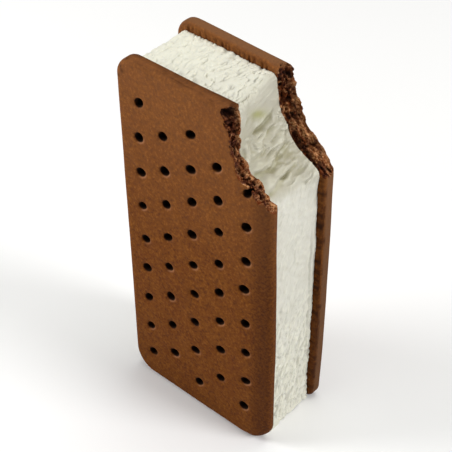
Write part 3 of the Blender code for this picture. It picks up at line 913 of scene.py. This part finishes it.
        # Bite: wet and smooth, with fine scrapes along the tooth marks and curds in places
        angle, rho = bite_polar(x, z)
        arc = angle * MM_PER_DEGREE + 0.5 * n1(y / 3.0, z / 3.0, 51)
        g = np.sqrt(n2((arc + 0.12 * y) / 1.25, y / 6.0, 54) ** 2 + 0.02) - 0.33
        h = n3(arc / 0.55, y / 3.0, 64)
        m = n1(x / 2.4, y / 2.4, z / 2.4)
        far = smoothstep(-6.0, 1.0, y) * smoothstep(22.0, 28.0, angle)
        scrape = 0.20 * m + (0.30 + 0.72 * far) * g + (0.12 + 0.16 * far) * h
        # Curds: a broken patch in the middle of the front half, and a row beside the back wafer
        patch = smoothstep(23.0, 26.5, angle) * (1 - smoothstep(34.0, 37.0, angle)) * (1 - smoothstep(-1.0, 2.5, y))
        row = smoothstep(7.2, 8.8, y) * smoothstep(17.0, 22.0, angle) * (1 - smoothstep(33.0, 37.0, angle))
        lump, gap = self.curds(x / 2.1 + 0.4 * m, y / 2.1, z / 2.1)
        fine, slit = self.curds(x / 0.7 + 9, y / 0.7, z / 0.7)
        scrape = scrape + patch * (0.66 * lump + 0.08 * fine + 0.20 * m - 0.10 * smoothstep(0.30, 0.0, gap))
        scrape = scrape + row * (0.30 * fine + 0.25 - 0.25 * smoothstep(0.3, 0.0, slit))
        flat = np.clip(on_top + on_foot, 0, 1)
        skin = wrinkle * flat + side * (1 - flat)
        return scrape * on_bite + skin * (1 - on_bite)

    def build(self):
        fine = 0.21
        wide = 0.29
        xs = axis((-ICE_X - 1.6, 3.0, wide), (3.0, ICE_X + 3.6, fine))
        ys = axis((-Y_IN - 0.9, Y_IN + 0.9, 0.24))
        zs = axis((-0.4, 82.0, wide), (82.0, ICE_TOP + 0.9, fine))
        X, Y, Z = (c.ravel() for c in np.meshgrid(xs, ys, zs, indexing="ij"))
        # A rough distance first, so that only what lies near the surface is worked out in full
        box = np.maximum(np.maximum(np.abs(X) - ICE_X, np.abs(Y) - Y_IN), np.maximum(Z - ICE_TOP, ICE_FOOT - Z))
        field = box.astype(F4)
        rho = np.hypot(BITE_X - X, BITE_Z - Z)
        gone = (rho < 19.0) & (X > 0)
        field[gone] = 2.0
        work = ((np.abs(box) < 1.6) | ((rho < 34.0) & (box < 1.6)) | (np.abs(X) > ICE_X - 1.6)) & ~gone & (box < 3.0)
        x, y, z = X[work], Y[work], Z[work]
        block = self.block(x, y, z)
        bite = np.full(x.shape, -9.0)
        zone = (x > 0) & (z > 76) & (block < 3.0)
        bite[zone] = self.bite(x[zone], y[zone], z[zone])
        f = smax(smax(block, bite, 2.6 - 1.3 * smoothstep(3.0, 9.0, y)), np.abs(y) - (Y_IN + 0.25), 0.3)
        near = (np.abs(f) < 0.7) & (np.abs(y) < Y_IN + 0.12)
        hidden = smoothstep(Y_IN - 0.15, Y_IN + 0.12, np.abs(y[near]))
        f[near] -= self.relief(x[near], y[near], z[near], bite[near]) * (1 - hidden)
        field[work] = f
        field = field.reshape(len(xs), len(ys), len(zs))
        verts, quads = surface_net(field, xs, ys, zs)
        verts, quads = largest_part(verts, quads)
        obj = mesh_object("ice_cream_surface", verts, quads)
        print("ice quads", len(quads))
        x, y, z = verts.T
        seen = np.maximum((z > 82) & (x > 2), (z > ICE_TOP - 1.8) | ((x > ICE_X - 2.0) & (z > 3.0)))
        decimate(obj, 195000, np.where(seen & (np.abs(y) < Y_IN - 0.05), 0.0, 1.0))
        p = vertex_mm(obj)
        b = np.full(len(p), -9.0)
        dip = np.zeros(len(p))
        tint = np.zeros(len(p))
        zone = (p[:, 0] > 0) & (p[:, 2] > 76)
        q = p[zone]
        b[zone] = self.bite(q[:, 0], q[:, 1], q[:, 2])
        angle, _ = bite_polar(q[:, 0], q[:, 2])
        # Painted shade in the bottoms of the tooth marks
        dip[zone] = smoothstep(0.05, 0.8, self.bite_marks(angle, q[:, 1]))
        tint[zone] = np.exp(-(((angle - 12.4 - 1.0 * (q[:, 1] + 0.6)) / 3.0) ** 2) - ((q[:, 1] - 0.4) / 3.3) ** 2)
        height = self.relief(p[:, 0], p[:, 1], p[:, 2], b)
        # Painted shade in the low parts of the relief and in the tooth marks
        low = smoothstep(0.10, -0.50, height)
        low[zone] = np.maximum(low[zone], 0.8 * smoothstep(0.2, 1.0, self.bite_marks(angle, q[:, 1])))
        set_attribute(obj, "low", low)
        # Painted highlight on the high parts of the relief and on the bite's lumps
        high = smoothstep(0.10, 0.42, height)
        high[zone] = np.maximum(high[zone], smoothstep(0.15, 0.55, -self.bite_marks(angle, q[:, 1])))
        on_bite = smoothstep(-1.6, -0.2, b)
        set_attribute(obj, "high", high * (1 - 0.45 * on_bite))
        paler = np.ones(len(p))
        paler[zone] = 0.72 + 0.28 * smoothstep(8.0, 22.0, angle) + 0.16 * smoothstep(22.0, 36.0, angle)
        paler[zone] *= 1.0 - 0.45 * smoothstep(56.0, 68.0, angle + 0.6 * np.maximum(q[:, 1], 0))
        set_attribute(obj, "bitten", smoothstep(-3.6, -0.1, b + 0.8 * self.n1(p[:, 1] / 3.0, p[:, 2] / 3.0, 71)) * paler)
        # Painted light: the left part of the top face is made whiter
        set_attribute(obj, "pale", smoothstep(4.0, -16.0, p[:, 0]) * smoothstep(ICE_TOP - 3.0, ICE_TOP - 1.0, p[:, 2]))
        set_attribute(obj, "dip", dip * on_bite)
        set_attribute(obj, "tint", tint * on_bite)
        return obj


# ---------------------------------------------------------------- materials


class Tree:
    """Short hand for building a material's nodes."""

    def __init__(self, name):
        self.material = bpy.data.materials.new(name)
        self.material.use_nodes = True
        self.nodes = self.material.node_tree.nodes
        self.links = self.material.node_tree.links
        self.shader = self.nodes["Principled BSDF"]

    def link(self, a, b):
        self.links.new(a, b)

    def put(self, socket, value):
        if isinstance(value, bpy.types.NodeSocket):
            self.link(value, socket)
        else:
            socket.default_value = value

    def place(self):
        if not hasattr(self, "_place"):
            self._place = self.nodes.new("ShaderNodeTexCoord").outputs["Object"]
        return self._place

    def scaled(self, sx, sy, sz, shift=(0, 0, 0), turn=(0, 0, 0)):
        m = self.nodes.new("ShaderNodeMapping")
        m.inputs["Scale"].default_value = (sx, sy, sz)
        m.inputs["Location"].default_value = shift
        m.inputs["Rotation"].default_value = turn
        self.link(self.place(), m.inputs["Vector"])
        return m.outputs["Vector"]

    def noise(self, per_mm, detail=3.0, rough=0.5, vector=None, distortion=0.0):
        n = self.nodes.new("ShaderNodeTexNoise")
        n.inputs["Scale"].default_value = per_mm * 1000
        n.inputs["Detail"].default_value = detail
        n.inputs["Roughness"].default_value = rough
        n.inputs["Distortion"].default_value = distortion
        self.link(vector if vector is not None else self.place(), n.inputs["Vector"])
        return n.outputs["Fac"]

    def attribute(self, name):
        a = self.nodes.new("ShaderNodeAttribute")
        a.attribute_name = name
        return a.outputs["Fac"]

    def math(self, op, a, b=0.0, clamp=False):
        n = self.nodes.new("ShaderNodeMath")
        n.operation = op
        n.use_clamp = clamp
        self.put(n.inputs[0], a)
        self.put(n.inputs[1], b)
        return n.outputs[0]

    def span(self, value, a, b, c=0.0, d=1.0):
        n = self.nodes.new("ShaderNodeMapRange")
        n.clamp = True
        self.put(n.inputs["Value"], value)
        n.inputs["From Min"].default_value = a
        n.inputs["From Max"].default_value = b
        n.inputs["To Min"].default_value = c
        n.inputs["To Max"].default_value = d
        return n.outputs["Result"]

    def mix(self, fac, a, b, mode="MIX"):
        n = self.nodes.new("ShaderNodeMix")
        n.data_type = "RGBA"
        n.blend_type = mode
        self.put(n.inputs["Factor"], fac)
        for socket, v in ((n.inputs[6], a), (n.inputs[7], b)):
            if isinstance(v, tuple) and len(v) == 3:
                v = (*v, 1.0)
            self.put(socket, v)
        return n.outputs[2]

    def ramp(self, fac, *stops):
        n = self.nodes.new("ShaderNodeValToRGB")
        r = n.color_ramp
        while len(r.elements) < len(stops):
            r.elements.new(0.5)
        for e, (pos, colour) in zip(r.elements, stops):
            e.position = pos
            e.color = (*colour, 1.0)
        self.put(n.inputs["Fac"], fac)
        return n.outputs["Color"]

    def bump(self, height, distance, strength=1.0, normal=None):
        n = self.nodes.new("ShaderNodeBump")
        n.inputs["Strength"].default_value = strength
        n.inputs["Distance"].default_value = distance
        self.put(n.inputs["Height"], height)
        if normal is not None:
            self.link(normal, n.inputs["Normal"])
        return n.outputs["Normal"]

    def set(self, **values):
        for name, value in values.items():
            self.put(self.shader.inputs[name.replace("_", " ")], value)


def srgb(r, g, b):
    def lin(c):
        c = c / 255.0
        return c / 12.92 if c <= 0.04045 else ((c + 0.055) / 1.055) ** 2.4

    return (lin(r), lin(g), lin(b))


# How strongly the painted shade darkens the wafers' edges
RIM_DARK = 0.9
HEIGHT_SHADE = 0.2


def wafer_material():
    t = Tree("chocolate_wafer")
    # Skin: brown, mottled in soft patches, with a fine grain
    patch = t.noise(0.09, 4.0, 0.55)
    cloud = t.noise(0.32, 3.0, 0.5)
    grain = t.noise(1.3, 4.0, 0.65)
    skin = t.mix(t.span(patch, 0.3, 0.7), srgb(112, 60, 14), srgb(120, 68, 18))
    skin = t.mix(t.span(cloud, 0.35, 0.68, 0.0, 0.35), skin, srgb(106, 55, 17))
    skin = t.mix(t.span(grain, 0.32, 0.48, 0.8, 0.0), skin, srgb(76, 38, 9))
    skin = t.mix(t.span(grain, 0.52, 0.68, 0.0, 0.65), skin, srgb(156, 97, 38))
    # Torn crumb: dark and reddish brown, with light flakes and painted highlight on what stands proud, painted shade in
    # its pits and creases, and patches of painted sheen
    c1 = t.noise(0.95, 3.0, 0.6)
    c2 = t.noise(1.9, 2.0, 0.5, t.scaled(1, 1, 1, (0.3, 0.1, 0.2)))
    c3 = t.noise(0.55, 2.0, 0.5, t.scaled(1, 1, 1, (0.7, 0.4, 0.9)))
    warm = t.span(t.attribute("warm"), 0.0, 1.0, -0.07, 0.07)
    crumb = t.ramp(
        t.math("ADD", c1, warm),
        (0.33, srgb(30, 7, 2)),
        (0.42, srgb(62, 24, 10)),
        (0.50, srgb(94, 48, 24)),
        (0.58, srgb(134, 82, 50)),
        (0.66, srgb(176, 121, 80)),
        (0.76, srgb(210, 166, 124)),
    )
    crumb = t.mix(t.span(c2, 0.40, 0.60, 0.35, 0.0), crumb, srgb(44, 13, 5))
    # Painted sheen: pinkish grey patches stand in for glints off the moist crumb
    crumb = t.mix(t.span(c3, 0.55, 0.66, 0.0, 0.30), crumb, srgb(98, 62, 54))
    rust = t.math("MULTIPLY", t.span(c3, 0.49, 0.38, 0.0, 1.0), t.span(t.attribute("warm"), 0.2, 0.9, 0.40, 0.65))
    crumb = t.mix(rust, crumb, srgb(118, 52, 13))
    # Light flakes, and painted highlight on the crumbs that stand proud
    flake = t.mix(t.span(c2, 0.38, 0.60), srgb(140, 76, 32), srgb(222, 166, 116))
    flake = t.mix(t.span(c1, 0.45, 0.36, 0.0, 0.7), flake, srgb(92, 48, 20))
    crumb = t.mix(t.math("MULTIPLY", t.attribute("fleck"), 0.88), crumb, flake)
    # Painted shade: near black in the crumb's pits, creases and torn-out marks
    crumb = t.mix(t.span(t.attribute("pit"), 0.2, 1.0, 0.0, 0.9), crumb, srgb(20, 5, 2))
    # Painted shade: the darker brown that the wafers' edges are given
    dark = t.mix(t.span(grain, 0.36, 0.64), srgb(70, 34, 10), srgb(102, 56, 19))
    colour = t.mix(t.math("MULTIPLY", t.attribute("rim"), RIM_DARK), skin, dark)
    # Painted sheen: greyer, paler brown on the back wafer's outer edge
    colour = t.mix(t.math("MULTIPLY", t.attribute("edge_sheen"), 0.7), colour, srgb(94, 68, 48))
    # Painted light and shade: the skin made lighter towards the top and darker towards the bottom
    shade = t.span(t.attribute("height"), 0.0, 1.0, -1.0, 1.0)
    colour = t.mix(t.span(shade, -1.0, 0.0, HEIGHT_SHADE, 0.0), colour, srgb(66, 32, 9))
    colour = t.mix(t.span(shade, 0.0, 1.0, 0.0, HEIGHT_SHADE), colour, srgb(184, 126, 82))
    colour = t.mix(t.attribute("torn"), colour, crumb)
    # Painted shade in the grooves of the flutes
    colour = t.mix(t.math("MULTIPLY", t.attribute("flute"), 0.48), colour, srgb(76, 32, 10))
    # Painted highlight at the lower right of each docker hole's mouth
    colour = t.mix(t.math("MULTIPLY", t.attribute("hole_glint"), 0.75), colour, srgb(172, 118, 82))
    # Dark nicks and spots, and painted shade beside the ice cream and in the crevice at the top of the bitten edge
    colour = t.mix(t.math("MULTIPLY", t.attribute("spot"), 0.85), colour, srgb(40, 14, 4))
    # Painted shade: the docker holes near black inside
    colour = t.mix(t.math("MULTIPLY", t.attribute("hole"), 0.95), colour, srgb(9, 4, 2))
    t.set(Base_Color=colour, Roughness=t.span(grain, 0.3, 0.7, 0.66, 0.82))
    t.shader.inputs["Specular IOR Level"].default_value = 0.08
    fine = t.noise(2.4, 3.0, 0.6)
    height = t.math("ADD", t.math("MULTIPLY", grain, 0.7), t.math("MULTIPLY", fine, 0.35))
    t.set(Normal=t.bump(height, 0.00026, 0.9))
    return t.material


def ice_material():
    t = Tree("vanilla_ice_cream")
    patch = t.noise(0.07, 3.0, 0.5)
    fleck = t.noise(0.9, 3.0, 0.55)
    colour = t.mix(t.span(patch, 0.3, 0.7), srgb(208, 206, 194), srgb(215, 213, 202))
    colour = t.mix(t.span(fleck, 0.3, 0.5, 0.35, 0.0), colour, srgb(198, 194, 176))
    # Painted light: the left part of the top face whiter
    colour = t.mix(t.math("MULTIPLY", t.attribute("pale"), 0.8), colour, srgb(226, 225, 210))
    bitten = t.attribute("bitten")
    wet = t.mix(t.span(patch, 0.35, 0.65), srgb(168, 163, 143), srgb(178, 173, 153))
    colour = t.mix(t.math("MULTIPLY", bitten, 0.85), colour, wet)
    # Painted shade: olive darker colour in the bottoms of the tooth marks
    colour = t.mix(t.math("MULTIPLY", t.attribute("dip"), 0.72), colour, srgb(150, 144, 110))
    # Painted shade in the low parts of the relief and the tooth marks
    colour = t.mix(t.math("MULTIPLY", t.attribute("low"), 0.36), colour, srgb(168, 164, 138))
    # Painted highlight on the high parts of the relief and the bite's lumps
    colour = t.mix(t.math("MULTIPLY", t.attribute("high"), 0.48), colour, srgb(236, 234, 216))
    colour = t.mix(t.math("MULTIPLY", t.attribute("tint"), 0.74), colour, srgb(146, 146, 66))
    rough = t.math("SUBTRACT", t.span(fleck, 0.3, 0.7, 0.5, 0.66), t.math("MULTIPLY", bitten, 0.18))
    t.set(Base_Color=colour, Roughness=rough)
    s = t.shader.inputs
    s["Specular IOR Level"].default_value = 0.5
    s["Subsurface Weight"].default_value = 0.15
    s["Subsurface Radius"].default_value = (1.0, 0.9, 0.7)
    s["Subsurface Scale"].default_value = 0.0007
    fine = t.noise(1.6, 3.0, 0.6)
    t.set(Normal=t.bump(fine, 0.00014, 0.6))
    return t.material


def floor_material():
    t = Tree("pale_floor")
    t.set(Base_Color=(0.96, 0.96, 0.96, 1.0), Roughness=0.9)
    t.shader.inputs["Specular IOR Level"].default_value = 0.1
    return t.material


# ---------------------------------------------------------------- pieces
front = Wafer("front_wafer", -1, FRONT_CORNERS, R_FRONT_OUTER, R_FRONT_INNER, front_holes(), FRONT_MARKS, 11, 1.1, ((1.7, 1.7), (0.5, 0.35)), ((0.6, 0.61, 0.73, 0.42, 0.1, 0.1), (0.3, 0.3)), 1.3, False).build()
back = Wafer("back_wafer", 1, BACK_CORNERS, R_BACK_OUTER, R_BACK_INNER, back_holes(), BACK_MARKS, 21, 0.1, ((0.6, 1.1), (1.35, 1.5)), ((-0.65, -0.15, 0.10, 0.26, 0.0, -0.05), (0.2, -0.75)), 2.6, True).build()
ice = Ice().build()

wafer_look = wafer_material()
for piece, node in ((front, "front_wafer"), (back, "back_wafer")):
    piece.data.materials.clear()
    piece.data.materials.append(wafer_look)
    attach(piece, "root")
    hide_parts(node)
ice.data.materials.clear()
ice.data.materials.append(ice_material())
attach(ice, "root")
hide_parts("ice_cream")

# ---------------------------------------------------------------- stage and light
bpy.ops.mesh.primitive_plane_add(size=6.0, location=(0, 0, 0))
floor = bpy.context.active_object
floor.name = "floor"
floor.data.materials.append(floor_material())

world = bpy.data.worlds.new("studio")
bpy.context.scene.world = world
world.use_nodes = True
sky = world.node_tree.nodes["Background"]
sky.inputs["Color"].default_value = (1.0, 1.0, 1.0, 1.0)
sky.inputs["Strength"].default_value = 0.15


def area_light(name, place, aim, size, power, colour=(1, 1, 1)):
    data = bpy.data.lights.new(name, "AREA")
    data.shape = "DISK"
    data.size = size
    data.energy = power
    data.color = colour
    light = bpy.data.objects.new(name, data)
    bpy.context.scene.collection.objects.link(light)
    back = np.array(place, float) - np.array(aim, float)
    back /= np.linalg.norm(back)
    right = np.cross((0, 0, 1.0), back)
    right /= np.linalg.norm(right)
    up = np.cross(back, right)
    m = Matrix.Identity(4)
    for i in range(3):
        m[i][0], m[i][1], m[i][2], m[i][3] = right[i], up[i], back[i], place[i]
    light.matrix_world = m
    return light


area_light("key", (-0.50, -0.38, 0.40), (0, 0, 0.06), 0.34, 3.15)
area_light("right", (0.90, 0.28, 0.62), (0, 0, 0.06), 0.45, 7.2)
area_light("top", (0.05, 0.25, 1.60), (0, 0.0, 0.06), 1.10, 10.8, (1.0, 0.995, 0.955))

bpy.context.scene.view_settings.view_transform = "Standard"
bpy.context.scene.view_settings.look = "None"
bpy.context.scene.view_settings.exposure = 0.0
bpy.context.scene.view_settings.gamma = 1.0
